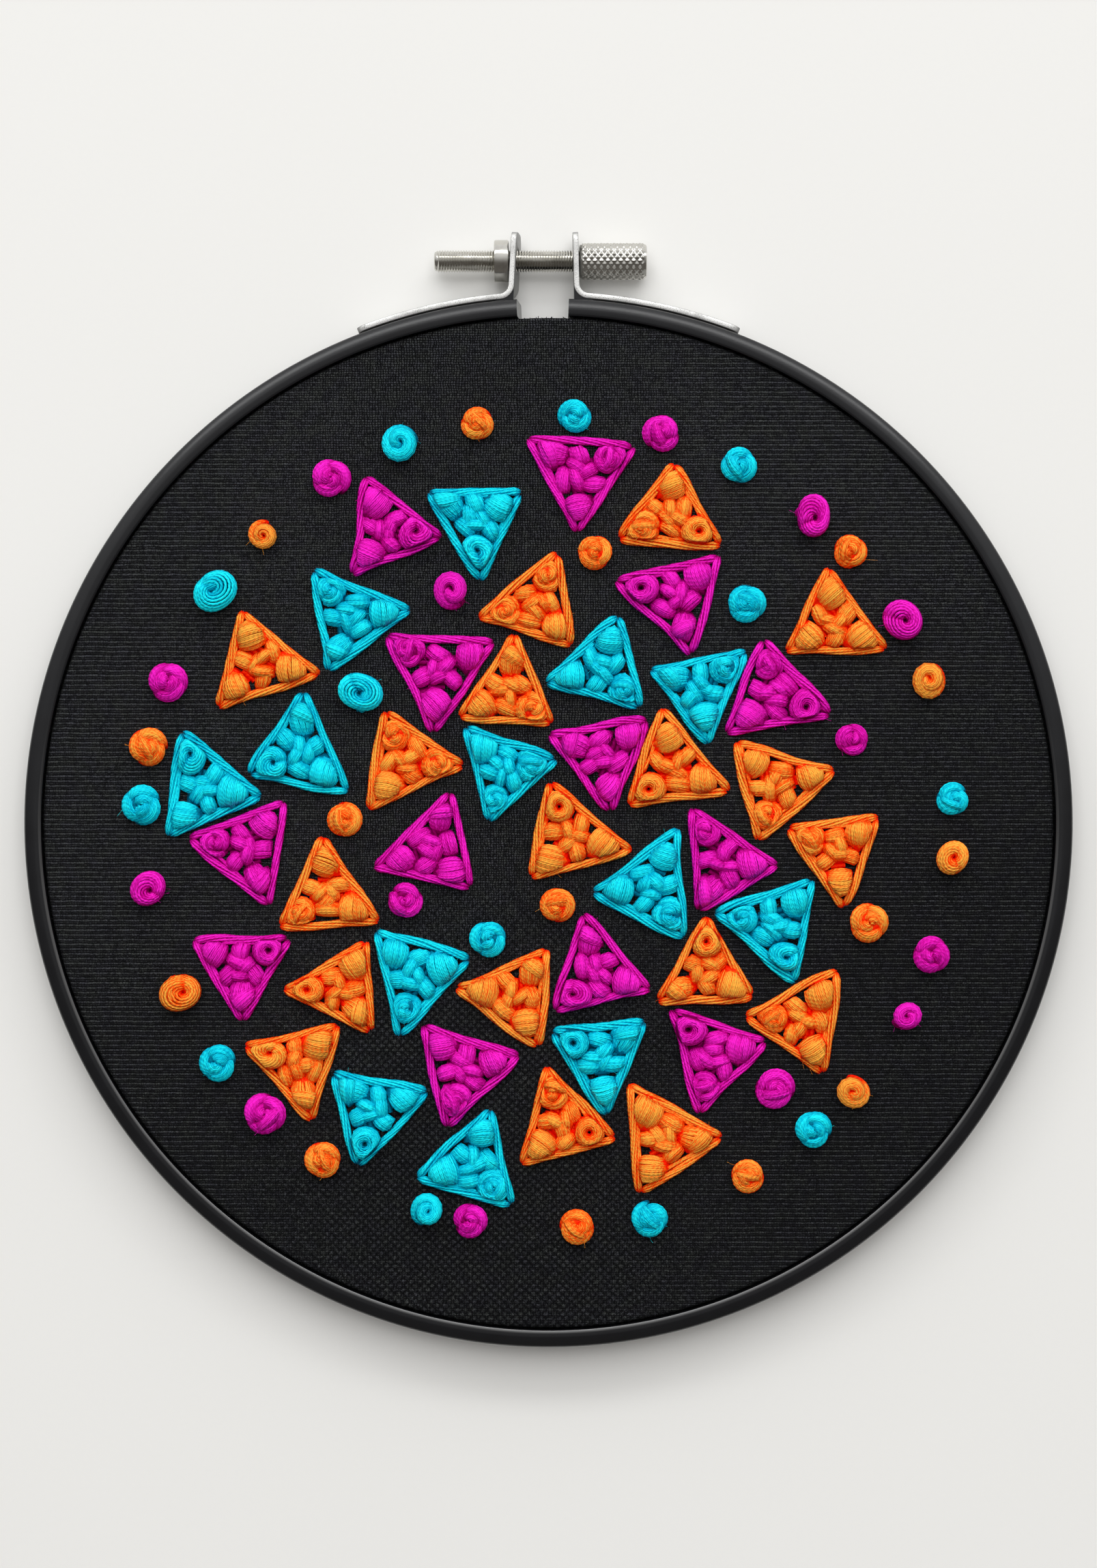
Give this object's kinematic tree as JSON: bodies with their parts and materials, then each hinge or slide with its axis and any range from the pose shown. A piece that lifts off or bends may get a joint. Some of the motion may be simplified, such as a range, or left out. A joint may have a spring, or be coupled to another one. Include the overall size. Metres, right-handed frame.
{
  "type": "satin stitch embroidery in a screw hoop",
  "caption": "Round screw hoop gripping a drum-tight black cloth, stitched with padded floss triangles and raised round knots; a thumbscrew across two bent metal tabs draws its split ring shut.",
  "frame": {"origin": "under the middle of the object's box, in the plane of the hoop's back", "axes": "+Z out of the stitched face, +Y towards the screw clamp, +X to the side of the knurled grip"},
  "size_m": [0.188, 0.2002, 0.0129],
  "materials": {
    "hoop_plastic": "black moulded plastic with a fine satin grain",
    "clamp_metal": "bright nickel-plated steel, cut edges tumbled satin, rod threaded and grip diamond-knurled",
    "ground_cloth": "black even-weave cotton or linen, matt, drum tight",
    "floss_orange": "orange stranded cotton floss with a soft sheen",
    "floss_turquoise": "turquoise stranded cotton floss with a soft sheen",
    "floss_magenta": "magenta stranded cotton floss with a soft sheen"
  },
  "bodies": {
    "hoop": {"outer_ring": "hoop_plastic", "inner_ring": "hoop_plastic", "ground_cloth": "ground_cloth", "lug_left": "clamp_metal", "lug_right": "clamp_metal", "collar_nut": "clamp_metal", "triangle_01": "floss_orange", "triangle_02": "floss_turquoise", "triangle_03": "floss_magenta", "triangle_04": "floss_magenta", "triangle_05": "floss_turquoise", "triangle_06": "floss_orange", "triangle_07": "floss_orange", "triangle_08": "floss_orange", "triangle_09": "floss_magenta", "triangle_10": "floss_turquoise", "triangle_11": "floss_magenta", "triangle_12": "floss_magenta", "triangle_13": "floss_orange", "triangle_14": "floss_turquoise", "triangle_15": "floss_orange", "triangle_16": "floss_orange", "triangle_17": "floss_turquoise", "triangle_18": "floss_orange", "triangle_19": "floss_turquoise", "triangle_20": "floss_magenta", "triangle_21": "floss_orange", "triangle_22": "floss_turquoise", "triangle_23": "floss_magenta", "triangle_24": "floss_magenta", "triangle_25": "floss_turquoise", "triangle_26": "floss_magenta", "triangle_27": "floss_orange", "triangle_28": "floss_orange", "triangle_29": "floss_orange", "triangle_30": "floss_orange", "triangle_31": "floss_magenta", "triangle_32": "floss_orange", "triangle_33": "floss_turquoise", "triangle_34": "floss_turquoise", "triangle_35": "floss_magenta", "triangle_36": "floss_turquoise", "triangle_37": "floss_orange", "triangle_38": "floss_turquoise", "triangle_39": "floss_magenta", "triangle_40": "floss_orange", "triangle_41": "floss_orange", "triangle_42": "floss_orange", "triangle_43": "floss_magenta", "triangle_44": "floss_turquoise"},
    "thumbscrew": {"thumbscrew": "clamp_metal"}
  },
  "joints": [
    {"name": "thumbscrew_turn", "type": "hinge", "parent": "hoop", "child": "thumbscrew", "pos_m": [0, 0.0951, 0.0044], "axis": [1, 0, 0], "range_deg": [0, 360]}
  ]
}
